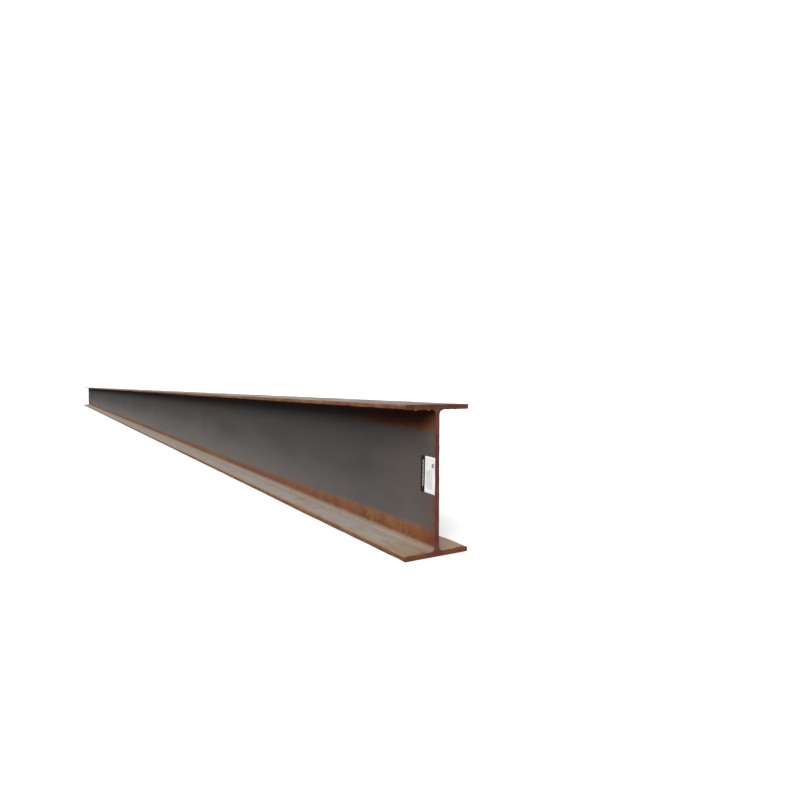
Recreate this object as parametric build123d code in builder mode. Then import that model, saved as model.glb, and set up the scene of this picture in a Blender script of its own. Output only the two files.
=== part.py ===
"""Hot-rolled steel I-beam with parallel flanges, in a stock length.

The beam lies along X and stands on its lower flange, web upright.
The origin is in the middle of the underside, and Z points up.
"""

import os

from build123d import *

# Driving dimensions, in millimetres
BEAM_LENGTH = 12000.0
SECTION_DEPTH = 350.0
FLANGE_WIDTH = 175.0
FLANGE_THICKNESS = 11.0
WEB_THICKNESS = 7.0
ROOT_RADIUS = 13.0  # hollow fillet that the rolls leave where the web runs into a flange
TOE_RADIUS = 1.5  # worn corners of the flange tips

# For the weights that are printed at the end
STEEL_DENSITY = 7.85e-6  # kilograms in a cubic millimetre
MILLIMETRES_PER_METRE = 1000.0

# What the section's shape needs for picking its corners
ROOT_CORNERS = 4
TOE_CORNERS = 8


def distance_from_web_plane(corner):
    """How far a corner of the section stands to either side of the web's middle plane."""
    return abs(corner.X)


# The section is drawn across the beam at half its length, about the middle of the web
section_plane = Plane(origin=(0, 0, SECTION_DEPTH / 2), x_dir=(0, 1, 0), z_dir=(1, 0, 0))
flange_spacing = SECTION_DEPTH - FLANGE_THICKNESS

with BuildPart() as i_beam:
    with BuildSketch(section_plane) as section:
        # Two flanges, and a web that runs from the middle of one to the middle of the other
        with GridLocations(0, flange_spacing, 1, 2):
            Rectangle(FLANGE_WIDTH, FLANGE_THICKNESS)
        Rectangle(WEB_THICKNESS, flange_spacing)
        # Rolled fillets at the web, then the rounded tips of the flanges
        fillet(section.vertices().sort_by(distance_from_web_plane)[:ROOT_CORNERS], ROOT_RADIUS)
        fillet(section.vertices().sort_by(distance_from_web_plane)[-TOE_CORNERS:], TOE_RADIUS)
    # Both ends are sawn square to the length
    extrude(amount=BEAM_LENGTH / 2, both=True)

i_beam.part.label = "i_beam"
os.makedirs("parts", exist_ok=True)
export_step(i_beam.part, "parts/i_beam.step")

weight_per_metre = section.sketch.area * MILLIMETRES_PER_METRE * STEEL_DENSITY
print(f"section {section.sketch.area:.1f} mm2, {weight_per_metre:.1f} kg per metre")
print(f"beam {i_beam.part.volume:.0f} mm3, {i_beam.part.volume * STEEL_DENSITY:.1f} kg")
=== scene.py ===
# %% [markdown]
# # Dressing a rolled steel beam
# The object is one length of hot-rolled steel: a tall thin web between two flat flanges, sawn square
# at both ends and left outdoors until rust came through its dark mill scale.
# A CAD model already fixes its size and place. These cells load it and lay a finer skin over it, with the
# marks of rolling, sawing and handling, and with its scale, rust and dust.
# All lengths are in metres. The beam lies along X, stands on its lower flange, and Z points up.

# %% Load the frame
import math
from functools import partial, reduce
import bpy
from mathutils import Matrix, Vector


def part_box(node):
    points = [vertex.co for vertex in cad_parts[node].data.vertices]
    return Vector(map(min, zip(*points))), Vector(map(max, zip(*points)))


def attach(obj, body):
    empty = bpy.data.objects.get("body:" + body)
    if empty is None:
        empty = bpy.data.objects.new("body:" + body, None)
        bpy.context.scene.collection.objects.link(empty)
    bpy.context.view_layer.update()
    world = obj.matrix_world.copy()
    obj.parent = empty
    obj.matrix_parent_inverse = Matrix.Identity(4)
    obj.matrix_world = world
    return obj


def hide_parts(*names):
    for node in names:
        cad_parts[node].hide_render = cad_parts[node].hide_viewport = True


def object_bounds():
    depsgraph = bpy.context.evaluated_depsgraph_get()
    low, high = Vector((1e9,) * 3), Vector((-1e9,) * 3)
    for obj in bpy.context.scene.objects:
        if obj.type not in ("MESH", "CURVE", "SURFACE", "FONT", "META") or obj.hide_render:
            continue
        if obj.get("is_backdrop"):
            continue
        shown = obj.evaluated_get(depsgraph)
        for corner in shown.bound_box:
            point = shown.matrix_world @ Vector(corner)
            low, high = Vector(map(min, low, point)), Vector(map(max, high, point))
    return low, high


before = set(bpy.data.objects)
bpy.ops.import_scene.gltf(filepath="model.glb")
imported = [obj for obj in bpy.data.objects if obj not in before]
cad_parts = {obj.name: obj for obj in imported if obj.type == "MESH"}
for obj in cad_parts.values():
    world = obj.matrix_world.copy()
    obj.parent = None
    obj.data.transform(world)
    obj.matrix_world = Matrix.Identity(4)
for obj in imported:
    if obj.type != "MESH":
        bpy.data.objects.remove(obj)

from types import SimpleNamespace

import bpy
import numpy as np
from mathutils import Matrix

cad_low, cad_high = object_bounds()
beam_low, beam_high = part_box("i_beam")
LENGTH, WIDTH, DEPTH = beam_high - beam_low
MM = 1000  # millimetres in a metre, for what the cells print
print(f"beam {LENGTH:.3f} m long, {WIDTH:.4f} m wide, {DEPTH:.4f} m deep")

# %% [markdown]
# ## The section's outline
# A rolling mill squeezes a glowing bar between four rolls. They leave straight faces, a hollow fillet
# where the web runs into each flange, and slightly rounded flange toes.
# You could extrude the CAD face again, but its long thin triangles have no points to bend. So the outline
# is worked out afresh as one quarter, made of straight runs and arcs, and mirrored twice. Points lie
# close together on the inner faces of the flanges, where the saw leaves its raggedest edge.

# %% Straight runs and arcs
def straight(start, end, step):
    """Points start + t (end - start), with t from 0 up to, but not including, 1, about one step apart."""
    start = np.asarray(start, float)
    way = np.asarray(end, float) - start
    count = max(1, round(np.linalg.norm(way) / step))
    return start + way * np.arange(count)[:, None] / count


def arc(centre, radius, start, turn, count):
    """Points centre + radius (cos a, sin a), with a from start up to, but not including, start + turn."""
    angle = np.radians(start + turn * np.arange(count) / count)
    return np.asarray(centre, float) + radius * np.column_stack((np.cos(angle), np.sin(angle)))


print("a quarter circle in three steps:", arc((0, 0), 1, 0, 90, 3).round(2).tolist())

# %% One quarter of the outline, mirrored twice
FLANGE = 0.011
WEB = 0.007
ROOT_RADIUS = 0.013
TOE_RADIUS = 0.0015
OUTER_STEP = 0.008
INNER_STEP = 0.0025
WEB_STEP = 0.015
TOE_STEP = 0.0027
ROOT_STEPS = 6
TOE_STEPS = 3


def section_outline():
    """The closed outline as (y, z), anticlockwise seen from +X, starting in the middle of the underside."""
    toe = WIDTH / 2 - TOE_RADIUS
    root = WEB / 2 + ROOT_RADIUS
    quarter = np.vstack((
        straight((0, 0), (toe, 0), OUTER_STEP),
        arc((toe, TOE_RADIUS), TOE_RADIUS, -90, 90, TOE_STEPS),
        straight((WIDTH / 2, TOE_RADIUS), (WIDTH / 2, FLANGE - TOE_RADIUS), TOE_STEP),
        arc((toe, FLANGE - TOE_RADIUS), TOE_RADIUS, 0, 90, TOE_STEPS),
        straight((toe, FLANGE), (root, FLANGE), INNER_STEP),
        arc((root, FLANGE + ROOT_RADIUS), ROOT_RADIUS, 270, -90, ROOT_STEPS),
        straight((WEB / 2, FLANGE + ROOT_RADIUS), (WEB / 2, DEPTH / 2), WEB_STEP),
    ))
    middle = np.array([[WEB / 2, DEPTH / 2]])
    right = np.vstack((quarter, middle, quarter[::-1] * (1, -1) + (0, DEPTH)))
    left = right[::-1][1:-1] * (-1, 1)
    return np.vstack((right, left))


outline = section_outline()
points_round = len(outline)
print(f"outline of {points_round} points")

# %% [markdown]
# ## The way round, and the way out
# What is done to the skin later moves points of the outline outwards. So each point gets its distance along
# the outline, for waves that run round it, and an outward direction: the line from the point before it to
# the point after it, turned by a right angle.

# %% Distances round the outline and outward directions
steps = np.linalg.norm(np.roll(outline, -1, 0) - outline, axis=1)
along_outline = np.concatenate(([0], np.cumsum(steps)[:-1]))
girth = steps.sum()
chord = np.roll(outline, -1, 0) - np.roll(outline, 1, 0)
outward = np.column_stack((chord[:, 1], -chord[:, 0])) / np.linalg.norm(chord, axis=1)[:, None]
print(f"{girth:.3f} m round the outline")

# %% [markdown]
# ## Rings along the beam
# The skin is that outline carried along a straight path. What there is to see lies near the saw cuts,
# so the rings crowd there: the distance from an end grows as an exponential of the ring's number.
# An even spacing fine enough for the ends would need fifteen times as many faces.

# %% Ring places
FIRST_GAP = 0.0025
GAP_GROWTH = 0.026


def ring_places():
    """Places along X. From an end, ring n lies at exp(growth n) - 1, scaled to end at mid-length."""
    half = LENGTH / 2
    count = round(math.log1p(GAP_GROWTH * half / FIRST_GAP) / GAP_GROWTH)
    from_end = np.expm1(GAP_GROWTH * np.arange(count + 1))
    from_end *= half / from_end[-1]
    near = half - from_end[::-1]
    return np.concatenate((-near[::-1], near[1:]))


rings = ring_places()
end_gap = LENGTH / 2 - np.abs(rings)
gaps = np.diff(rings) * MM
print(f"{len(rings)} rings, gaps from {gaps.min():.1f} to {gaps.max():.0f} mm")

# %% [markdown]
# ## What handling leaves on the toes
# Crane hooks and other steel knock nicks into the thin flange toes, and the toes are never rolled quite
# straight. Sculpting them by hand would take hours on twelve metres of edge. Both are small moves of the
# outline along its outward direction, so each is a table with a row for each ring and a column for each
# outline point. A matrix product adds up all the nicks at once.

# %% Random lines and bell curves
def wander(place, longest, shortest, waves, seed):
    """A smooth random line, about -1 to 1: a sum of sines with lengths and phases drawn at random."""
    draw = np.random.default_rng(seed)
    length = np.exp(draw.uniform(np.log(shortest), np.log(longest), waves))
    phase = draw.uniform(0, 2 * np.pi, waves)
    return np.sin(2 * np.pi * np.asarray(place)[..., None] / length + phase).sum(-1) / np.sqrt(waves)


def bell(distance, width):
    """A bell curve: 1 at distance 0, falling as exp(-(distance / width) squared)."""
    return np.exp(-(distance / width) ** 2)


print(f"one width out, a bell curve is down to {bell(1, 1):.2f}")

# %% Toe waves and nicks
TOE_WAVE = 0.0005
TOE_SINES = (2.5, 0.12, 14)  # longest, shortest and number
NICKS_PER_TOE = 70
NICK_SEED = 100
NICK_CLEAR = 3  # rings at each end that stay whole
NICK_RINGS = (0.7, 2.2)  # half-width, in rings
NICK_ROUND = 0.0035
NICK_DEPTH = 0.0014
NICK_SHALLOWEST = 0.15


def nick_table(toe, seed):
    """How deep a toe's nicks go: the sum of each one's bell along the beam times its bell round it."""
    draw = np.random.default_rng(seed)
    ring = draw.uniform(NICK_CLEAR, len(rings) - 1 - NICK_CLEAR, NICKS_PER_TOE)
    length = draw.uniform(*NICK_RINGS, NICKS_PER_TOE)
    point = draw.choice(along_outline[toe], NICKS_PER_TOE)
    depth = NICK_DEPTH * draw.uniform(NICK_SHALLOWEST, 1, NICKS_PER_TOE) ** 2
    lengthwise = bell(np.arange(len(rings))[:, None] - ring, length)
    roundwise = bell(along_outline - point[:, None], NICK_ROUND) * depth[:, None]
    return lengthwise @ roundwise * toe


toe_points = np.abs(outline[:, 0]) > WIDTH / 2 - 2 * TOE_RADIUS
toe_corners = [(right, top) for right in (False, True) for top in (False, True)]
push = np.zeros((len(rings), points_round))
for number, (right, top) in enumerate(toe_corners):
    toe = toe_points & ((outline[:, 0] > 0) == right) & ((outline[:, 1] > DEPTH / 2) == top)
    push += TOE_WAVE * wander(rings, *TOE_SINES, number)[:, None] * toe
    push -= nick_table(toe, NICK_SEED + number)
print(f"{NICKS_PER_TOE * len(toe_corners)} nicks, up to {-push.min() * MM:.1f} mm deep with the waves")

# %% [markdown]
# ## The burr of the hot saw
# The saw cuts the beam while it is still red, and smears soft metal over the edges of the cut. The burr
# is a ragged lip, up to a few millimetres high, lumpy inside the flanges and even along the web. A lip
# is again a push along the outward direction: a height round the outline times an exponential that dies
# away a few millimetres from the cut. Under the beam it stays at zero, so the beam still rests flat.

# %% Burr height round the cut
BURR_HEIGHT = 0.0030
LONG_LUMPS = (0.100, 0.035, 10)  # longest, shortest and number of sines
SHORT_LUMPS = (0.032, 0.011, 12)
SHORT_SHARE = 0.7
LUMP_LIMIT = 1.5
EVEN_LIP = {"under": 0.0, "over": 0.03, "toe": 0.10, "inner": 0.24, "root": 0.45, "web": 0.56}
LUMPY_LIP = {"under": 0.0, "over": 0.06, "toe": 0.20, "inner": 0.42, "root": 0.16, "web": 0.08}
SLACK = 1e-5


def by_face(share):
    """A number for each outline point, by the face of the section that the point lies on."""
    y, z = np.abs(outline[:, 0]), outline[:, 1]
    inset = np.minimum(z, DEPTH - z)
    faces = {
        "under": z < TOE_RADIUS,
        "over": inset < TOE_RADIUS,
        "toe": toe_points,
        "inner": inset < FLANGE + TOE_RADIUS / 2,
        "root": y > WEB / 2 + SLACK,
    }
    return np.select(list(faces.values()), [share[name] for name in faces], share["web"])


def burr_line(seed):
    """The lip's height round the outline: an even part, plus the square of the humps of two random lines."""
    lumps = wander(along_outline, *LONG_LUMPS, seed)
    lumps += SHORT_SHARE * wander(along_outline, *SHORT_LUMPS, seed + 1)
    return BURR_HEIGHT * (by_face(EVEN_LIP) + by_face(LUMPY_LIP) * np.clip(lumps, 0, LUMP_LIMIT) ** 2)


print(f"the even lip on the web is {BURR_HEIGHT * EVEN_LIP['web'] * MM:.1f} mm a side")

# %% Burr lips at both ends
BURR_REACH = 0.0032
FAR_SEED = 21
NEAR_SEED = 31

far_burr = burr_line(FAR_SEED)
near_burr = burr_line(NEAR_SEED)
fade = np.exp(-end_gap / BURR_REACH)[:, None]
lip = fade * np.where(rings[:, None] < 0, far_burr, near_burr)
push += lip
print(f"burr up to {near_burr.max() * MM:.1f} mm high at the near end")

# %% [markdown]
# ## The skin as one closed mesh
# Every ring is the outline pushed out by its row of the table, but never past the flat outer faces. One
# more ring inside each rim lies flat in the saw cut, and a single many-sided face closes it, so the skin
# is watertight.
# The faces come from an index grid: four neighbours in the grid make one face, in the order that points
# its normal outwards.

# %% Skin points
RIM_INSET = 0.0011

pushed = outline + push[:, :, None] * outward
pushed[:, :, 1] = np.clip(pushed[:, :, 1], 0, DEPTH)
cap = outline - RIM_INSET * outward
sections = np.concatenate((cap[None], pushed, cap[None]))
places = np.pad(rings, 1, mode="edge")[:, None, None]
skin_grid = np.concatenate((np.broadcast_to(places, (*sections.shape[:2], 1)), sections), axis=2)
skin_rings = len(skin_grid)
print(f"skin of {skin_rings} rings of {points_round} points")

# %% Skin mesh
SHARP_ANGLE = 38


def add_object(name, data):
    """An object that shows some data, linked to the scene."""
    added = bpy.data.objects.new(name, data)
    bpy.context.scene.collection.objects.link(added)
    return added


index = np.arange(skin_rings * points_round).reshape(skin_rings, points_round)
after = np.roll(index, -1, axis=1)
quads = np.stack((index[:-1], after[:-1], after[1:], index[1:]), axis=-1).reshape(-1, 4)
skin_faces = quads.tolist() + [index[0, ::-1].tolist(), index[-1].tolist()]
skin_mesh = bpy.data.meshes.new("beam_skin")
skin_mesh.from_pydata(skin_grid.reshape(-1, 3), [], skin_faces)
skin_mesh.polygons.foreach_set("use_smooth", np.ones(len(skin_faces), bool))
skin_mesh.set_sharp_from_angle(angle=math.radians(SHARP_ANGLE))
beam_skin = add_object("beam_skin", skin_mesh)
print(f"skin of {len(skin_faces)} faces")

# %% [markdown]
# ## Which faces are sawn, and how much burr a point carries
# The saw cut is even rust with saw marks, unlike the rolled faces, so it has a material of its own.
# The burr's height goes into the mesh as an attribute, a number on each point that a material can read.

# %% Face slots and the burr attribute
ROLLED, SAWN = 0, 1
last_band = skin_rings - 2
quad_ring = np.repeat(np.arange(skin_rings - 1), points_round)
is_cut = (quad_ring == 0) | (quad_ring == last_band)
face_slot = np.concatenate((np.where(is_cut, SAWN, ROLLED), [SAWN, SAWN])).astype(np.int32)
skin_mesh.polygons.foreach_set("material_index", face_slot)

burr_amount = np.pad(lip, ((1, 1), (0, 0)), mode="edge") / BURR_HEIGHT
burr_attribute = skin_mesh.attributes.new("burr", "FLOAT", "POINT")
burr_attribute.data.foreach_set("value", burr_amount.astype(np.float32).ravel())
print(f"{(face_slot == SAWN).sum()} faces are sawn")

# %% [markdown]
# ## A map for flat pictures of the skin
# When the finish is turned into pictures for other programs, the skin is laid flat on a square. A strip
# twelve metres long would waste nearly all of it, so the strip is cut into three rows. Within a row, a
# stretch near a saw cut gets more room than one in the middle of the beam, because there is more to see.
# The two saw cuts lie on their sides in a strip above the rows.

# %% Bake map in three rows
MAP_ROWS = 3
ROWS_TOP = 0.86
MAP_GAP = 0.004
CLOSE_UP = 0.8


def map_positions():
    """u grows as log(1 + end gap / close-up), mirrored about mid-length, and v with the way round."""
    reach = np.log1p(end_gap / CLOSE_UP)
    u = np.where(rings < 0, reach, 2 * reach.max() - reach)
    u = np.pad(u, 1, mode="edge") / (2 * reach.max())
    v = np.append(along_outline, girth) / girth
    return u, v


def row_map():
    """The corners of each face: u runs over its row's stretch of the beam, and v over the row's height."""
    ring_u, point_v = map_positions()
    row_edge = np.abs(ring_u - np.linspace(0, 1, MAP_ROWS + 1)[:, None]).argmin(axis=1)
    row = np.clip(np.searchsorted(row_edge[1:-1], quad_ring, side="right"), 0, MAP_ROWS - 1)[:, None]
    start, end = ring_u[row_edge[:-1]], ring_u[row_edge[1:]]
    quad_point = np.tile(np.arange(points_round), skin_rings - 1)
    corner_u = ring_u[quad_ring[:, None] + np.array([0, 0, 1, 1])]
    corner_v = point_v[quad_point[:, None] + np.array([0, 1, 1, 0])]
    row_height = ROWS_TOP / MAP_ROWS
    u = MAP_GAP + (1 - 2 * MAP_GAP) * (corner_u - start[row]) / (end - start)[row]
    v = row * row_height + MAP_GAP + (row_height - 2 * MAP_GAP) * corner_v
    return np.stack((u, v), axis=-1)


quad_map = row_map()
print(f"{MAP_ROWS} rows reach {quad_map[..., 1].max():.3f} of the map's height")

# %% Bake map of the saw cuts
CUT_MAP_LEFT = 0.02
CUT_MAP_SPACING = 0.45


def cut_map(points, slot):
    """A saw cut laid on its side in the strip above the rows: z to the right and y upwards, at one scale."""
    scale = (1 - ROWS_TOP - 2 * MAP_GAP) / WIDTH
    u = CUT_MAP_LEFT + slot * CUT_MAP_SPACING + points[..., 1] * scale
    v = ROWS_TOP + MAP_GAP + (points[..., 0] + WIDTH / 2) * scale
    return np.stack((u, v), axis=-1)


flat_points = skin_grid[:, :, 1:].reshape(-1, 2)
for slot, ring in enumerate((0, last_band)):
    band = quad_ring == ring
    quad_map[band] = cut_map(flat_points[quads[band]], slot)
bake_map = np.concatenate((quad_map.reshape(-1, 2), cut_map(cap[::-1], 0), cut_map(cap, 1)))
skin_mesh.uv_layers.new(name="OFBake").uv.foreach_set("vector", bake_map.astype(np.float32).ravel())
print(f"map reaches {bake_map.min():.3f} to {bake_map.max():.3f}")

# %% [markdown]
# ## The paper label
# A small paper label is stuck on the web, close by the saw cut, with a dark strip down its inner side.
# A plane with a cloth simulation could make its cockles, but they are too faint to be worth it. It is a
# function of two parameters instead: one along the beam and one up. The paper lies on the steel, with a
# faint cockle and one corner that has come loose. Solidify then gives the paper its thickness.

# %% Label points
LABEL_WIDTH = 0.0585
LABEL_HEIGHT = 0.0865
LABEL_FROM_CUT = 0.0039
LABEL_BOTTOM = 0.1408
LABEL_TILT = -0.03
LABEL_CELLS = (24, 36)
PAPER = 0.00025
COCKLE = 0.0005
RIDGE_UP, RIDGE_ACROSS = 9, 2  # radians over the label's height and width
RIPPLE, RIPPLE_SHIFT = 5, 1
CURL = 0.0006
CURL_FROM = 1.55  # of 2, counted along the diagonal that ends at the loose corner


def label_points():
    """x and z grow with the parameters; y stands off the web by a cockle of sines and a curled corner."""
    across = np.linspace(0, 1, LABEL_CELLS[0] + 1)[:, None]
    up = np.linspace(0, 1, LABEL_CELLS[1] + 1)[None, :]
    right = LENGTH / 2 - LABEL_FROM_CUT
    x = right - LABEL_WIDTH * (1 - across) - LABEL_TILT * LABEL_HEIGHT * (up - 0.5)
    z = LABEL_BOTTOM + LABEL_HEIGHT * up + LABEL_TILT * LABEL_WIDTH * (across - 0.5)
    ridges = np.sin(RIDGE_UP * up + RIDGE_ACROSS * across) * np.sin(RIPPLE * across + RIPPLE_SHIFT)
    corner = np.clip(across + (1 - up) - CURL_FROM, 0, None) / (2 - CURL_FROM)
    y = -WEB / 2 - PAPER - COCKLE * (1 + ridges) / 2 - CURL * corner ** 2
    points = np.stack(np.broadcast_arrays(x, y, z), axis=-1)
    return points, np.stack(np.broadcast_arrays(across, up), axis=-1)


label_grid, label_flat = label_points()
print(f"label {LABEL_WIDTH * MM:.1f} by {LABEL_HEIGHT * MM:.1f} mm")

# %% Label sheet
def sheet_object(name, grid, flat):
    """A mesh from a grid of points: a face between each four neighbours, and their parameters as its map."""
    index = np.arange(grid.shape[0] * grid.shape[1]).reshape(grid.shape[:2])
    corners = (index[:-1, :-1], index[1:, :-1], index[1:, 1:], index[:-1, 1:])
    faces = np.stack(corners, axis=-1).reshape(-1, 4)
    mesh = bpy.data.meshes.new(name)
    mesh.from_pydata(grid.reshape(-1, 3), [], faces.tolist())
    mesh.polygons.foreach_set("use_smooth", np.ones(len(faces), bool))
    flat_corners = flat.reshape(-1, 2)[faces.ravel()].astype(np.float32)
    mesh.uv_layers.new(name="label_face").uv.foreach_set("vector", flat_corners.ravel())
    return add_object(name, mesh)


end_label = sheet_object("end_label", label_grid, label_flat)
paper = end_label.modifiers.new("paper", "SOLIDIFY")
paper.thickness = PAPER
paper.offset = -1  # towards the steel
print(f"label of {len(end_label.data.polygons)} faces")

# %% [markdown]
# ## Writing materials as formulas
# A finish is a network of nodes, and drawn by hand it is a web of wires. It reads better as formulas, so
# two small classes add one node for each step of a formula and hand back its output. The first does
# sums, and the second adds textures, colours and groups.

# %% Sums made of nodes
class Sums:
    """Adds nodes to one tree. A method makes a node, feeds it values or sockets, and returns its output."""

    def __init__(self, tree):
        self.tree = tree

    def report(self, name):
        """Prints how many nodes there are so far."""
        print(f"{name} has {len(self.tree.nodes)} nodes")

    def node(self, kind, **settings):
        made = self.tree.nodes.new(kind)
        for name, value in settings.items():
            setattr(made, name, value)
        return made

    def feed(self, socket, value):
        """Links a socket to another one, or sets it to a value."""
        if isinstance(value, bpy.types.NodeSocket):
            self.tree.links.new(value, socket)
        else:
            socket.default_value = value

    def maths(self, operation, *values):
        made = self.node("ShaderNodeMath", operation=operation)
        for socket, value in zip(made.inputs, values):
            self.feed(socket, value)
        return made.outputs[0]

    def fold(self, operation, values):
        """One operation on many values: first and second, then that result and the third, and so on."""
        return reduce(partial(self.maths, operation), values)

    def add(self, *values):
        return self.fold("ADD", values)

    def times(self, *values):
        return self.fold("MULTIPLY", values)

    def most(self, *values):
        return self.fold("MAXIMUM", values)

    def less(self, value, taken):
        return self.maths("SUBTRACT", value, taken)

    def step(self, value, start, end):
        """0 at start and 1 at end, with a smooth change between; start may be the larger one."""
        made = self.node("ShaderNodeMapRange", interpolation_type="SMOOTHSTEP")
        edges = (start, end, 0.0, 1.0) if start < end else (end, start, 1.0, 0.0)
        for socket, given in zip(made.inputs, (value, *edges)):
            self.feed(socket, given)
        return made.outputs[0]


print("sums:", ", ".join(name for name in vars(Sums) if name.isalpha()))

# %% Textures, colours and groups made of nodes
COLOUR_A, COLOUR_B, COLOUR_OUT = 6, 7, 2  # where a mix node keeps its colour sockets


class Formula(Sums):
    """Sums, and what a finish needs besides them. Values under names are kept in a namespace."""

    def stretch(self, vector, scale):
        """A place with each of its X, Y and Z multiplied by a number of its own."""
        made = self.node("ShaderNodeMapping")
        self.feed(made.inputs["Vector"], vector)
        self.feed(made.inputs["Scale"], scale)
        return made.outputs[0]

    def noise(self, vector, size, detail=3.0, rough=0.55):
        """Noise about 0.5, with cells of a size in metres: one number, or one for each of X, Y and Z."""
        made = self.node("ShaderNodeTexNoise")
        per_metre = tuple((1 / np.broadcast_to(size, 3)).tolist())
        self.feed(made.inputs["Vector"], self.stretch(vector, per_metre))
        self.feed(made.inputs["Scale"], 1.0)
        self.feed(made.inputs["Detail"], detail)
        self.feed(made.inputs["Roughness"], rough)
        return made.outputs[0]

    def noises(self, vector, table):
        """Noises under names, from a table of sizes and, where they aren't usual, detail and roughness."""
        return SimpleNamespace(**{name: self.noise(vector, *row) for name, row in table.items()})

    def weigh(self, values, shares):
        """A list of named values, each times its share."""
        return [self.times(getattr(values, name), share) for name, share in shares.items()]

    def blend(self, values, shares):
        """The sum of named values, each times its share."""
        return self.add(*self.weigh(values, shares))

    def thickest(self, values, shares):
        """The largest of named values, each times its share."""
        return self.most(*self.weigh(values, shares))

    def mix(self, amount, first, second):
        """The first colour where the amount is 0, the second where it is 1."""
        made = self.node("ShaderNodeMix", data_type="RGBA", clamp_factor=True)
        self.feed(made.inputs[0], amount)
        self.feed(made.inputs[COLOUR_A], first)
        self.feed(made.inputs[COLOUR_B], second)
        return made.outputs[COLOUR_OUT]

    def coat(self, colour, mask, coat):
        """A colour under a coat, where the mask is 1. A coat is the share that it hides, and its tint."""
        hides, tint = coat
        return self.mix(self.times(mask, hides), colour, tint)

    def parts(self, vector):
        made = self.node("ShaderNodeSeparateXYZ")
        self.feed(made.inputs[0], vector)
        return made.outputs

    def group(self, tree, **values):
        """A node group with its inputs fed by name."""
        made = self.node("ShaderNodeGroup", node_tree=tree)
        for name, value in values.items():
            self.feed(made.inputs[name], value)
        return made.outputs


print("textures and colours:", ", ".join(name for name in vars(Formula) if name.isalpha()))

# %% Colours, groups and materials
VECTOR, FLOAT, COLOUR = "NodeSocketVector", "NodeSocketFloat", "NodeSocketColor"


def srgb(red, green, blue):
    """A colour given as it looks on a screen, 0 to 255, as the linear light that Blender works in."""
    shown = np.array([red, green, blue]) / 255
    linear = np.where(shown <= 0.04045, shown / 12.92, ((shown + 0.055) / 1.055) ** 2.4)
    return (*linear.tolist(), 1.0)


def new_group(name, inputs, outputs):
    """A shader node group with named sockets, and the formula that fills it."""
    tree = bpy.data.node_groups.new(name, "ShaderNodeTree")
    for way, sockets in (("INPUT", inputs), ("OUTPUT", outputs)):
        for socket, kind in sockets.items():
            tree.interface.new_socket(socket, in_out=way, socket_type=kind)
    made = Formula(tree)
    return tree, made, made.node("NodeGroupInput").outputs, made.node("NodeGroupOutput").inputs


def new_material(name):
    """A material with a Principled shader and an output, and the formula that fills it."""
    material = bpy.data.materials.new(name)
    material.use_nodes = True
    material.node_tree.nodes.clear()
    made = Formula(material.node_tree)
    shader = made.node("ShaderNodeBsdfPrincipled")
    made.feed(made.node("ShaderNodeOutputMaterial").inputs["Surface"], shader.outputs[0])
    return material, made, shader.inputs


def bump(made, height, distance):
    """A shading normal that tilts as if the surface rose by height times distance."""
    relief = made.node("ShaderNodeBump")
    made.feed(relief.inputs["Strength"], 1.0)
    made.feed(relief.inputs["Distance"], distance)
    made.feed(relief.inputs["Height"], height)
    return relief.outputs[0]


print(f"middle grey on a screen is {srgb(128, 128, 128)[0]:.2f} of white light")

# %% [markdown]
# ## Rust, as a group that two materials share
# Yard rust is never one brown. Fresh rust is light and powdery, older rust is dark and red, and dust dries
# on it in ochre patches. A photograph of rust would repeat and carry its own light, so the group mixes the
# three by noise of several sizes. Its second input says how old the rust is on the whole, and it puts out a
# colour and a height.
# Noise lies about a middle of 0.5, so a smooth step round it picks half of a surface. BROAD has a wide soft
# edge and HALF a narrower one. SOME and FEW lie higher and pick less, and SWEPT picks a little more.

# %% Rust group
MIDDLE = 0.5
BROAD = (0.26, 0.74)
HALF = (0.38, 0.62)
SOME = (0.52, 0.70)
FEW = (0.62, 0.74)
SWEPT = (0.40, 0.56)
FRESH_RUST = srgb(132, 87, 53)
OLD_RUST = srgb(92, 54, 38)
OCHRE_COAT = (0.35, srgb(138, 101, 66))
RUST_NOISE = {"clouds": (0.055,), "grains": (0.008, 4.0, 0.65), "crust": (0.0025, 2.0), "ochre": (0.03,)}
FRESHNESS = {"clouds": 0.5, "grains": 0.5, "youth": 0.4}
RUST_RELIEF = {"grains": 0.6, "crust": 0.4}


def make_rust():
    """Fresh rust where clouds, grains and youth add up to much, old rust elsewhere, and ochre patches."""
    tree, made, given, out = new_group(
        "yard_rust", {"Vector": VECTOR, "Age": FLOAT}, {"Color": COLOUR, "Height": FLOAT})
    at = made.noises(given["Vector"], RUST_NOISE)
    at.youth = made.less(MIDDLE, given["Age"])
    colour = made.mix(made.step(made.blend(at, FRESHNESS), *BROAD), OLD_RUST, FRESH_RUST)
    colour = made.coat(colour, made.step(at.ochre, *SOME), OCHRE_COAT)
    made.feed(out["Color"], colour)
    made.feed(out["Height"], made.blend(at, RUST_RELIEF))
    made.report("yard rust")
    return tree


yard_rust = make_rust()

# %% [markdown]
# ## Mill scale
# Hot steel grows a skin of dark oxide, and on the web it is nearly whole: smooth, with broad faint clouds,
# water runs, fainter lines along the beam from the rolls, and specks where grains of it came off. All of
# these are noise with cells of different shapes. A cell that is tall and narrow makes a run, and one that
# is metres long makes a roll line.

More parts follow.
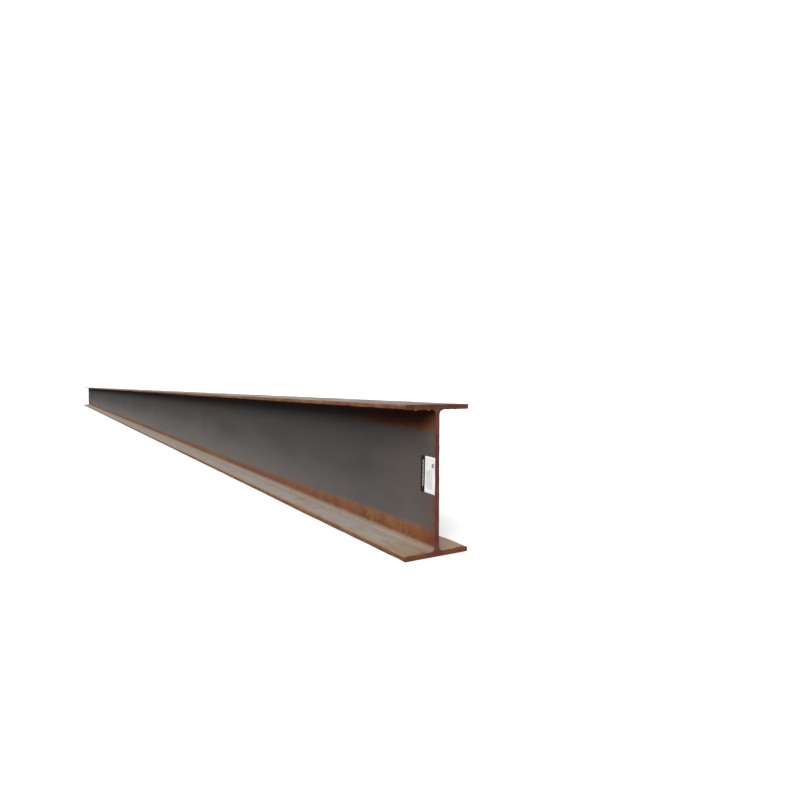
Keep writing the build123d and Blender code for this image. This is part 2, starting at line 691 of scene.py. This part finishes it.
# %% Mill scale group
SCALE_DARK = srgb(66, 65, 65)
SCALE_LIGHT = srgb(94, 91, 89)
SCALE_WARM = srgb(96, 83, 76)
SCALE_DUST = srgb(116, 110, 105)
SPECK_COAT = (0.4, srgb(46, 43, 42))
SCALE_NOISE = {
    "long_clouds": ((1.1, 0.3, 0.3), 2.0),
    "clouds": ((0.32, 0.12, 0.09), 4.0),
    "wide_runs": ((0.16, 0.3, 0.6), 2.0),
    "narrow_runs": ((0.040, 0.2, 0.3),),
    "roll_lines": ((2.0, 0.009, 0.009), 2.0),
    "grain": (0.0045, 3.0, 0.7),
    "specks": (0.003, 1.0),
    "warm_patches": ((0.09, 0.15, 0.14), 4.0),
}
SCALE_TONE = {
    "long_clouds": 0.36,
    "clouds": 0.32,
    "wide_runs": 0.07,
    "narrow_runs": 0.02,
    "roll_lines": 0.05,
    "grain": 0.18,
}
SMOOTHEST_SCALE = 0.52
ROUGHER_SCALE = {"clouds": 0.2, "specked": 0.15}
SCALE_RELIEF = {"clouds": 0.7, "grain": 0.3}


def make_scale():
    """Dark to light by the tone's sum of noises, then warm patches, dust and specks over it."""
    tree, made, given, out = new_group(
        "mill_scale",
        {"Vector": VECTOR, "Warmth": FLOAT, "Dust": FLOAT},
        {"Color": COLOUR, "Roughness": FLOAT, "Height": FLOAT},
    )
    at = made.noises(given["Vector"], SCALE_NOISE)
    at.specked = made.step(at.specks, *FEW)
    colour = made.mix(made.step(made.blend(at, SCALE_TONE), *BROAD), SCALE_DARK, SCALE_LIGHT)
    colour = made.coat(colour, made.step(at.warm_patches, *SOME), (given["Warmth"], SCALE_WARM))
    colour = made.mix(given["Dust"], colour, SCALE_DUST)
    made.feed(out["Color"], made.coat(colour, at.specked, SPECK_COAT))
    made.feed(out["Roughness"], made.add(SMOOTHEST_SCALE, made.blend(at, ROUGHER_SCALE)))
    made.feed(out["Height"], made.blend(at, SCALE_RELIEF))
    made.report("mill scale")
    return tree


mill_scale = make_scale()

# %% [markdown]
# ## The rolled faces: where a point lies
# Where rust and dust show follows from how the beam was made and stored, so the finish has to know where a
# point lies. Masks painted by hand would be tied to one picture size. Object coordinates give exact
# measures instead: the height, the distance from the web's middle plane, from the saw cut and from the
# nearer flange, and how far the face looks upwards. Eight noises, from flecks to drifts of a metre, fray
# what they give.

# %% Measures of a point on the steel
STEEL_NOISE = {
    "fray": (0.035, 4.0, 0.6),
    "fringe": ((0.006, 0.05, 0.11),),
    "drift": ((0.7, 1.0, 1.0), 2.0),
    "streaks": ((0.13, 0.014, 0.014),),
    "smudges": ((0.07, 0.025, 0.03), 4.0, 0.6),
    "patches": ((0.13, 0.07, 0.07), 4.0, 0.6),
    "flakes": (0.2,),
    "flecks": (0.009, 1.0),
}

rolled_steel, steel, steel_shader = new_material("rolled_steel")
steel_place = steel.node("ShaderNodeTexCoord").outputs["Object"]
along, aside, height = steel.parts(steel_place)
at = steel.noises(steel_place, STEEL_NOISE)
at.height = height
at.side = steel.maths("ABSOLUTE", aside)
at.from_cut = steel.less(LENGTH / 2, steel.maths("ABSOLUTE", along))
at.from_flange = steel.less(steel.maths("MINIMUM", height, steel.less(DEPTH, height)), FLANGE)
at.slope = steel.parts(steel.node("ShaderNodeNewGeometry").outputs["Normal"])[2]
print(f"{len(vars(at))} measures and noises")

# %% [markdown]
# ## Zones and patches
# A zone is a stretch of one measure, such as the last half metre before the cut, with a soft border: a
# smooth step from 0 to 1 between two values. A patch is the same, with a blend of noises in place of a
# measure. Tables hold them all, so a border can be moved without touching the formulas that use it.

# %% Zones by measure
BAND_HEIGHT = 0.044
SHADE_DEPTH = 0.066
TIP = WIDTH / 2
CEILING = DEPTH - FLANGE
ZONES = {
    "from_cut": {
        "red_end": (0.12, 0.01),
        "near_end": (0.5, 0.3),
        "warm_end": (0.7, 0.1),
        "dusty_end": (0.4, 0.1),
        "stained_end": (0.3, 0.0),
        "ochre_end": (0.22, 0.0),
        "brown_end": (0.06, 0.0),
        # 0 at the cut, where the web is darkened as painted shade
        "unrubbed": (-0.03, 0.12),
        "far": (0.15, 1.5),
        "very_far": (3.0, 8.0),
    },
    "height": {
        "lower_edge": (0.35 * FLANGE, 0.05 * FLANGE),
        "low": (0.62 * DEPTH, 0.12 * DEPTH),
        "upper_half": (0.5 * DEPTH, 0.6 * DEPTH),
        "sheltered": (0.55 * DEPTH, 0.8 * DEPTH),
        "near_top": (0.75 * DEPTH, 0.85 * DEPTH),
        # the band under the upper flange that carries painted shade
        "shade": (CEILING - SHADE_DEPTH, CEILING),
    },
    "side": {
        "on_web": (ROOT_RADIUS, WEB),
        "by_root": (0.036, 0.018),
        "inner_flange": (0.2 * WIDTH, 0.15 * WIDTH),
        "by_toe": (TIP - 0.016, TIP - 0.004),
        "off_toe": (TIP - 0.2 * TOE_RADIUS, TIP - 1.5 * TOE_RADIUS),
        "toe": (TIP - 1.2 * TOE_RADIUS, TIP - 0.4 * TOE_RADIUS),
    },
    "from_flange": {
        "low_in_band": (BAND_HEIGHT, 0.0),
        "inside": (-0.5 * FLANGE, -0.2 * FLANGE),
        "outer_face": (-0.6 * FLANGE, -0.9 * FLANGE),
    },
    "slope": {
        "upward": (0.0, 0.6),
        "tilted": (0.98, 0.62),
        "not_upward": (0.5, 0.1),
    },
}

for measure, zones in ZONES.items():
    for name, edges in zones.items():
        setattr(at, name, steel.step(getattr(at, measure), *edges))
print(f"{sum(len(zones) for zones in ZONES.values())} zones by {len(ZONES)} measures")

# %% Patches by noise
PATCHES = {
    "smudged": ({"smudges": 1.0}, BROAD),
    "flaked": ({"flakes": 1.0}, FEW),
    "flecked": ({"flecks": 1.0}, FEW),
    "ochre_stretch": ({"drift": 1.0}, HALF),
    "bare": ({"drift": 0.4, "fray": 0.6}, HALF),
    "swept": ({"patches": 0.5, "fray": 0.3, "drift": 0.2}, SWEPT),
    "ochre": ({"ochre_end": 0.5, "patches": 0.6, "smudges": 0.2}, (0.41, 0.89)),
    "rosy": ({"smudges": 0.6, "fray": 0.4}, HALF),
    "worn": ({"streaks": 0.4, "smudges": 0.6, "stained_end": 0.08}, SOME),
    "powdery": ({"streaks": 0.5, "fray": 0.5}, HALF),
}

for name, (shares, edges) in PATCHES.items():
    setattr(at, name, steel.step(steel.blend(at, shares), *edges))
print(f"{len(PATCHES)} patches")

# %% [markdown]
# ## Scale on the web
# The web keeps its scale. Near the cut it has a warm tinge and a little dust, except at the very edge,
# where the dust is left off as painted shade that darkens the web there. Further along, dust hazes the lower
# half, and more so with distance. Two masks go into the scale group, and it does the rest.

# %% Warmth and dust of the scale
SCALE_WARMTH = {"warm_end": 0.3, "drift": 0.3}
LEAST_HAZE = 0.25
HAZE = {"far": 0.35, "very_far": 0.3}
END_DUST = 0.2

haze = steel.add(LEAST_HAZE, steel.blend(at, HAZE))
web_dust = steel.most(steel.times(at.low, haze), steel.times(at.dusty_end, END_DUST))
scale = steel.group(
    mill_scale,
    Vector=steel_place,
    Warmth=steel.blend(at, SCALE_WARMTH),
    # painted shade: the dust is left off the web right by the cut, to darken it
    Dust=steel.times(web_dust, at.unrubbed),
)
steel.report("rolled steel")

# %% [markdown]
# ## Where rust shows
# Rust runs in a band along each flange, because the rolls scour the fillets and rain stands there. Noise
# frays its border, it grows narrower far along, and on the upper web it is strong only near the cut. Rust
# also eats in from the cut, with a stain round it, and comes through in flakes. A point is as rusty as the
# strongest of these makes it. Adding them up would go past 1 where they meet.

# %% Rust band along each flange
BAND_EDGE = 0.011
BAND_FRAY = 0.016
BAND_SPREAD = {"fray": 0.5, "fringe": 0.4, "drift": 0.6}
BAND_DROP = {"far": 0.25, "red_end": -0.08, "upper_end": -0.12}  # shares of the band's height
UPPER_REACH = (0.70, 0.20)
UPPER_FRAY = 0.2
UPPER_LOSS = 0.8

upper_web = steel.times(at.upper_half, at.on_web)
at.upper_end = steel.times(upper_web, at.near_end)
drop = steel.times(steel.blend(at, BAND_DROP), BAND_HEIGHT)
spread = steel.less(steel.blend(at, BAND_SPREAD), MIDDLE * sum(BAND_SPREAD.values()))
border = steel.less(steel.add(at.from_flange, drop), steel.times(spread, BAND_FRAY))
band = steel.step(border, BAND_HEIGHT + BAND_EDGE, BAND_HEIGHT - BAND_EDGE)
reached = steel.step(steel.add(at.from_cut, steel.times(at.fray, UPPER_FRAY)), *UPPER_REACH)
lost = steel.times(upper_web, steel.less(1.0, reached), UPPER_LOSS)
band = steel.times(band, steel.less(1.0, lost))
print(f"rust band {BAND_HEIGHT * MM:.0f} mm high on the web")

# %% Rust at the cut, and all rust together
CUT_RUST = 0.013
CUT_EDGE = 0.008
CUT_FRAY = 0.02
CUT_COVER = 0.75
STAIN_COVER = 0.3
FLAKE_COVER = 0.2
SHELTER = 0.55
BARE_LOSS = 0.8

border = steel.less(at.from_cut, steel.times(steel.less(at.fray, MIDDLE), CUT_FRAY))
strip = steel.step(border, CUT_RUST + CUT_EDGE, CUT_RUST - CUT_EDGE)
thinner = steel.less(1.0, steel.times(at.sheltered, SHELTER))
rusty = steel.most(
    band,
    steel.times(strip, thinner, CUT_COVER),
    steel.times(at.stained_end, at.smudged, thinner, STAIN_COVER),
    steel.times(at.flaked, FLAKE_COVER),
)
rusty = steel.times(rusty, steel.less(1.0, steel.times(at.outer_face, at.bare, BARE_LOSS)))
print(f"rust reaches {CUT_RUST * MM:.0f} mm in from the cut")

# %% [markdown]
# ## What colour the rust is
# Low in the band it stays damp, and the rust there is older. Under the upper flange the rust is made older,
# and everything there is coated nearly black, as painted shade. It is redder beside the cut and duller far
# along the web. One number for age goes into the rust group, and the other tints are coats over what comes
# out.

# %% Colours of the rust
# the shaded share makes the rust older and darker under the upper flange, as painted shade
RUST_AGE = {"low_in_band": 0.6, "shaded": 0.8, "fringe": 0.6, "toe": -0.35}
YOUNGER = 0.1
DULL_COVER = 0.65
DULL_RED = srgb(101, 68, 56)
DULL_OCHRE = srgb(112, 90, 69)
RED_COAT = (0.5, srgb(104, 50, 36))
PAINTED_SHADE_COVER = 0.72
PAINTED_SHADE_BROWN = srgb(54, 31, 23)
PAINTED_SHADE_RED = srgb(72, 32, 22)

at.shaded = steel.times(at.shade, steel.less(1.0, at.toe))
rust = steel.group(yard_rust, Vector=steel_place, Age=steel.less(steel.blend(at, RUST_AGE), YOUNGER))
dull_rust = steel.mix(at.ochre_stretch, DULL_RED, DULL_OCHRE)
rust_colour = steel.coat(rust["Color"], steel.times(at.far, at.on_web), (DULL_COVER, dull_rust))
redder = steel.most(at.red_end, steel.times(at.near_top, at.near_end))
rust_colour = steel.coat(rust_colour, redder, RED_COAT)
steel_colour = steel.mix(rusty, scale["Color"], rust_colour)
# painted shade: under the upper flange the colour is coated nearly black
under = steel.times(at.shaded, at.not_upward, at.inside)
steel_colour = steel.coat(steel_colour, under, (PAINTED_SHADE_COVER, steel.mix(at.near_end, PAINTED_SHADE_BROWN, PAINTED_SHADE_RED)))
steel.report("rolled steel")

# %% [markdown]
# ## Dust on what faces up
# Yard dust settles on the flanges and runs up into the fillets. It is grey, ochre in patches and near the
# cut, and browner where it is worn and by the edges. Beside the web it is darkened as painted shade, and in
# the fillets it takes a pinkish brown that is partly its own tint and partly painted shade. It misses the
# rounded toes, and the outer face of the upper flange is swept half clean. You could paint it, but the slope
# of the face and a few zones already say where dust can lie.

# %% Colours of the dust
GREY_DUST = srgb(137, 133, 126)
OCHRE_DUST = srgb(131, 117, 97)
BROWN_DUST = srgb(120, 97, 78)
ROSE_COAT = (0.45, srgb(140, 120, 105))
ROOT_SHADE_COAT = (0.25, srgb(108, 106, 92))
FILLET_TINT_AND_SHADE_COAT = (0.75, srgb(124, 99, 82))
BROWNER = {"worn": 0.5, "by_toe": 0.4, "brown_end": 0.65}

dust = steel.mix(at.ochre, GREY_DUST, OCHRE_DUST)
dust = steel.coat(dust, at.rosy, ROSE_COAT)
dust = steel.mix(steel.thickest(at, BROWNER), dust, BROWN_DUST)
# painted shade: the dust beside the web root is darkened
dust = steel.coat(dust, at.by_root, ROOT_SHADE_COAT)
# partly a pinkish dust tint, partly painted shade on the tilted fillet faces
dust = steel.coat(dust, steel.times(at.upward, at.tilted, at.inner_flange), FILLET_TINT_AND_SHADE_COAT)
steel.report("rolled steel")

# %% Where dust lies
DUST_COVER = 0.94
DUST_LOSS = {"swept_face": 0.85, "flecked": 0.2}

at.swept_face = steel.times(at.outer_face, at.swept)
dusty = steel.times(at.upward, at.off_toe, steel.less(DUST_COVER, steel.thickest(at, DUST_LOSS)))
steel_colour = steel.mix(dusty, steel_colour, dust)
print(f"dust hides up to {DUST_COVER:.0%} of what faces up")

# %% [markdown]
# ## The toes, and how the surface shines
# The toes were rubbed bare and rusted again: powdery in streaks, damp and dark along the lower edge.
# Scale has a faint sheen, while rust and dust are matt and coarser, so the same masks set roughness and
# relief. A bump is enough for relief this fine, because no outline shows it.

# %% Toes, roughness and relief
POWDER_COAT = (0.4, srgb(148, 108, 80))
DAMP_EDGE_COAT = (0.7, srgb(76, 52, 40))
MATT = 0.25
STEEL_SHINE = 0.22
SCALE_BUMPS = 0.3
LEAST_BUMPS = 0.3
RELIEF = 0.0005

steel_colour = steel.coat(steel_colour, steel.times(at.toe, at.powdery), POWDER_COAT)
steel_colour = steel.coat(steel_colour, steel.times(at.toe, at.lower_edge), DAMP_EDGE_COAT)
coarse = steel.most(rusty, dusty, at.toe)
bumps = steel.add(
    steel.times(rust["Height"], steel.add(LEAST_BUMPS, coarse)),
    steel.times(scale["Height"], SCALE_BUMPS),
)
steel.feed(steel_shader["Base Color"], steel_colour)
steel.feed(steel_shader["Roughness"], steel.add(scale["Roughness"], steel.times(coarse, MATT)))
steel.feed(steel_shader["Normal"], bump(steel, bumps, RELIEF))
steel_shader["Specular IOR Level"].default_value = STEEL_SHINE
steel.report("rolled steel")

# %% [markdown]
# ## The saw cut
# The cut end is one even, purplish rust, a little more orange out on the flanges, and darkened at the top as
# painted shade. The saw leaves shallow curved scratches, all round the same far centre, and the burr at the
# rim is paler where it has been rubbed. Modelled scratches would need a very fine mesh, so they are noise
# along the distance from the saw's centre.

# %% Saw marks
SAW_CENTRE = (0.0, -0.55, 0.05)
SAW_MARK = (0.0011, 3.0, 0.6)
ACROSS_ONLY = (0.0, 1.0, 1.0)

sawn_steel, cut, cut_shader = new_material("sawn_steel")
cut_place = cut.node("ShaderNodeTexCoord").outputs["Object"]
from_saw = cut.node("ShaderNodeVectorMath", operation="DISTANCE")
cut.feed(from_saw.inputs[0], cut.stretch(cut_place, ACROSS_ONLY))
cut.feed(from_saw.inputs[1], SAW_CENTRE)
saw_line = cut.node("ShaderNodeCombineXYZ")
cut.feed(saw_line.inputs[0], from_saw.outputs["Value"])
saw_marks = cut.noise(saw_line.outputs[0], *SAW_MARK)
print(f"saw marks about {SAW_MARK[0] * MM:.1f} mm apart")

# %% Colours of the cut
CUT_PURPLE = srgb(86, 44, 44)
CUT_ORANGE = srgb(98, 56, 30)
PAINTED_CUT_SHADE = (0.5, srgb(66, 36, 24))
MARK_COAT = (0.25, OLD_RUST)
BURR_COAT = (0.8, srgb(126, 80, 54))
CUT_CLOUD = (0.035, 4.0)
CLOUD_COVER = 0.3
CUT_AGE = 0.5
OUT_ON_FLANGE = (0.03 * WIDTH, 0.25 * WIDTH)
LOW_ON_CUT = (0.6 * DEPTH, 0.0)
TOP_OF_CUT = (0.9 * DEPTH, 0.97 * DEPTH)
RUBBED_BURR = (0.65, 1.2)
UPPER_ORANGE = 0.4

_, cut_aside, cut_height = cut.parts(cut_place)
cut_clouds = cut.noise(cut_place, *CUT_CLOUD)
cut_rust = cut.group(yard_rust, Vector=cut_place, Age=CUT_AGE)
outwards = cut.step(cut.maths("ABSOLUTE", cut_aside), *OUT_ON_FLANGE)
lower = cut.times(cut.step(cut_height, *LOW_ON_CUT), 1 - UPPER_ORANGE)
burr = cut.node("ShaderNodeAttribute", attribute_name="burr").outputs["Fac"]
cut_colour = cut.mix(cut.times(outwards, cut.add(UPPER_ORANGE, lower)), CUT_PURPLE, CUT_ORANGE)
# painted shade: the top of the cut is darkened
cut_colour = cut.coat(cut_colour, cut.step(cut_height, *TOP_OF_CUT), PAINTED_CUT_SHADE)
cut_colour = cut.coat(cut_colour, cut.step(cut_clouds, *HALF), (CLOUD_COVER, cut_rust["Color"]))
cut_colour = cut.coat(cut_colour, cut.step(saw_marks, *SOME), MARK_COAT)
cut_colour = cut.coat(cut_colour, cut.step(burr, *RUBBED_BURR), BURR_COAT)
cut.feed(cut_shader["Base Color"], cut_colour)
cut.report("sawn steel")

# %% Roughness and relief of the cut
SMOOTHEST_CUT = 0.62
ROUGHER_CUT = 0.25
MARK_SHARE = 0.5

cut_bumps = cut.add(cut.times(saw_marks, MARK_SHARE), cut.times(cut_rust["Height"], 1 - MARK_SHARE))
cut.feed(cut_shader["Roughness"], cut.add(SMOOTHEST_CUT, cut.times(cut_clouds, ROUGHER_CUT)))
cut.feed(cut_shader["Normal"], bump(cut, cut_bumps, RELIEF))
cut_shader["Specular IOR Level"].default_value = STEEL_SHINE
for finish in (rolled_steel, sawn_steel):
    skin_mesh.materials.append(finish)
cut.report("sawn steel")

# %% [markdown]
# ## Label paper
# The label is white paper with a dark strip, a few pale grey rules and one small dark block, and no words.
# A drawn picture would do, but so few marks are simpler as formulas. The label's two parameters are its own
# flat map, so each mark is a box on that map, and rules and dashes are boxes that are barred.

# %% Marks on the label
PAPER_WHITE = srgb(240, 239, 238)
INK = srgb(26, 24, 26)
PALE_INK = srgb(172, 172, 174)
STRIP_INK = srgb(190, 188, 188)
GRIME = (0.016, 4.0, 0.6)
GRIMY = (0.5, 0.8)
GRIME_COAT = (0.7, srgb(196, 194, 190))
LABEL_MARKS = {  # a box from left to right and bottom to top, its coat, and any bars: number and edges
    "rules": ((0.40, 0.82), (0.14, 0.62), (0.7, PALE_INK), (19.0, 0.45, 0.6)),
    "block": ((0.75, 0.90), (0.72, 0.83), (0.72, INK)),
    "strip": ((-0.1, 0.29), (-0.1, 1.1), (1.0, INK)),
    "dashes": ((0.12, 0.20), (0.16, 0.88), (1.0, STRIP_INK), (17.0, 0.3, 0.4)),
}

label_paper, label, label_shader = new_material("label_paper")


def between(value, low, high):
    """1 where a value lies between two others, and 0 elsewhere."""
    return label.times(label.maths("GREATER_THAN", value, low), label.maths("LESS_THAN", value, high))


label_place = label.node("ShaderNodeTexCoord").outputs["Object"]
grime = label.noise(label_place, *GRIME)
label_colour = label.coat(PAPER_WHITE, label.step(grime, *GRIMY), GRIME_COAT)
across, up, _ = label.parts(label.node("ShaderNodeUVMap", uv_map="label_face").outputs[0])
for wide, high, coat, *bars in LABEL_MARKS.values():
    mark = label.times(between(across, *wide), between(up, *high))
    for count, start, end in bars:
        mark = label.times(mark, label.step(label.maths("FRACT", label.times(up, count)), start, end))
    label_colour = label.coat(label_colour, mark, coat)
print(f"{len(LABEL_MARKS)} marks on the label: {', '.join(LABEL_MARKS)}")

# %% Roughness and relief of the paper
SMOOTHEST_PAPER = 0.5
ROUGHER_PAPER = 0.2
PAPER_RELIEF = 0.0003

label.feed(label_shader["Base Color"], label_colour)
label.feed(label_shader["Roughness"], label.add(SMOOTHEST_PAPER, label.times(grime, ROUGHER_PAPER)))
label.feed(label_shader["Normal"], bump(label, grime, PAPER_RELIEF))
end_label.data.materials.append(label_paper)
label.report("label paper")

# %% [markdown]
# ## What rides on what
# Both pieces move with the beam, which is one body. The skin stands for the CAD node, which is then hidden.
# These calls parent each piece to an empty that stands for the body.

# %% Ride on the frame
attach(beam_skin, "root")
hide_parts("i_beam")
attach(end_label, "root")
print("skin and label ride on the beam")

# %% [markdown]
# ## Floor and sky
# The stage is a plain pale floor under a white sky. Both look white to the camera but throw less light on
# the beam than white would, which keeps the shade under the upper flange. A dark floor would do that too,
# but it would show. So both ask whether it is the camera that sees them.

# %% Floor
FLOOR_REACH = 160.0
FLOOR_DROP = 0.0008
FLOOR_SHOWN = 0.76
FLOOR_BOUNCE = 0.08
CORNERS = ((-1, -1), (1, -1), (1, 1), (-1, 1))


def grey(level):
    """A grey with the same level of red, green and blue light."""
    return (level, level, level, 1.0)


def make_floor():
    """A square just under the beam, with one grey for the camera and a darker one for bounced light."""
    corners = np.column_stack((FLOOR_REACH * np.array(CORNERS), np.full(len(CORNERS), -FLOOR_DROP)))
    mesh = bpy.data.meshes.new("studio_floor")
    mesh.from_pydata(corners, [], [range(len(CORNERS))])
    material, made, shader = new_material("studio_floor")
    seen = made.node("ShaderNodeLightPath").outputs["Is Camera Ray"]
    made.feed(shader["Base Color"], made.mix(seen, grey(FLOOR_BOUNCE), grey(FLOOR_SHOWN)))
    shader["Roughness"].default_value = 1.0
    shader["Specular IOR Level"].default_value = 0.0
    mesh.materials.append(material)
    return add_object("studio_floor", mesh)


make_floor()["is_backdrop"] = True
print(f"floor of {2 * FLOOR_REACH:.0f} m a side")

# %% Sky
SKY_SHOWN = 1.0
SKY_LIGHT = 0.28

world = bpy.data.worlds.new("studio_sky")
world.use_nodes = True
sky = Formula(world.node_tree)
seen = sky.node("ShaderNodeLightPath").outputs["Is Camera Ray"]
backdrop = world.node_tree.nodes["Background"].inputs
backdrop["Color"].default_value = grey(1.0)
sky.feed(backdrop["Strength"], sky.add(SKY_LIGHT, sky.times(seen, SKY_SHOWN - SKY_LIGHT)))
bpy.context.scene.world = world
print(f"sky of {SKY_LIGHT} as light")

# %% [markdown]
# ## Bright cloud
# A bright overcast day lights the beam from one side of the sky more than from the other. A picture of a
# sky would do it, and so does a very wide sun: it stands high on the web's side, towards the near end, and
# a weaker and wider one stands opposite for the far side.

# %% Suns as wide as a bank of cloud
SUNS = {  # strength, then width, height and turn from the web's left side towards the near end, in degrees
    "key_cloud": (5.2, 56, 40, 50),
    "fill_cloud": (2.2, 110, 40, 222),
}

for name, (strength, width, rise, turn) in SUNS.items():
    lamp = bpy.data.lights.new(name, "SUN")
    lamp.energy = strength
    lamp.angle = math.radians(width)
    add_object(name, lamp).rotation_euler = (math.radians(90 - rise), 0, math.radians(turn))
bpy.context.scene.view_settings.view_transform = "Standard"
print(f"{len(SUNS)} suns")

# %% [markdown]
# ## The camera
# The photographer stood about a metre past the near end and a little to one side, with the lens just above
# the upper flange, and used a wide lens. Those numbers come from fitting a pinhole camera to the beam's
# corners in the picture. Moving a camera by eye would never bring all the corners into place at once.

# %% Camera
PICTURE_PIXELS = 800
SENSOR = 36.0
FOCAL_PIXELS = 577.5
NEAREST_SEEN = 0.05
FARTHEST_SEEN = 500.0
CAMERA_PAST_END = 1.078
CAMERA_ASIDE = 0.767
CAMERA_HEIGHT = 0.3902
CAMERA_TURN = 58.32
CAMERA_PITCH = -1.325
CAMERA_ROLL = 0.209

lens = bpy.data.cameras.new("yard_camera")
lens.sensor_width = SENSOR
lens.lens = FOCAL_PIXELS * SENSOR / PICTURE_PIXELS
lens.clip_start = NEAREST_SEEN
lens.clip_end = FARTHEST_SEEN
camera = add_object("yard_camera", lens)
camera.matrix_world = (
    Matrix.Translation((LENGTH / 2 + CAMERA_PAST_END, -CAMERA_ASIDE, CAMERA_HEIGHT))
    @ Matrix.Rotation(math.radians(CAMERA_TURN), 4, "Z")
    @ Matrix.Rotation(math.radians(90 + CAMERA_PITCH), 4, "X")
    @ Matrix.Rotation(math.radians(CAMERA_ROLL), 4, "Z")
)
bpy.context.scene.camera = camera
print(f"lens of {lens.lens:.1f} mm")

# %% [markdown]
# ## Compare the sizes
# The skin stands a few millimetres proud of the CAD model, and the cell prints how much its box grew.

# %% Sizes
shown_low, shown_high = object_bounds()
growth = (shown_high - shown_low) - (cad_high - cad_low)
print("box grew by", [round(MM * more, 1) for more in growth], "mm")
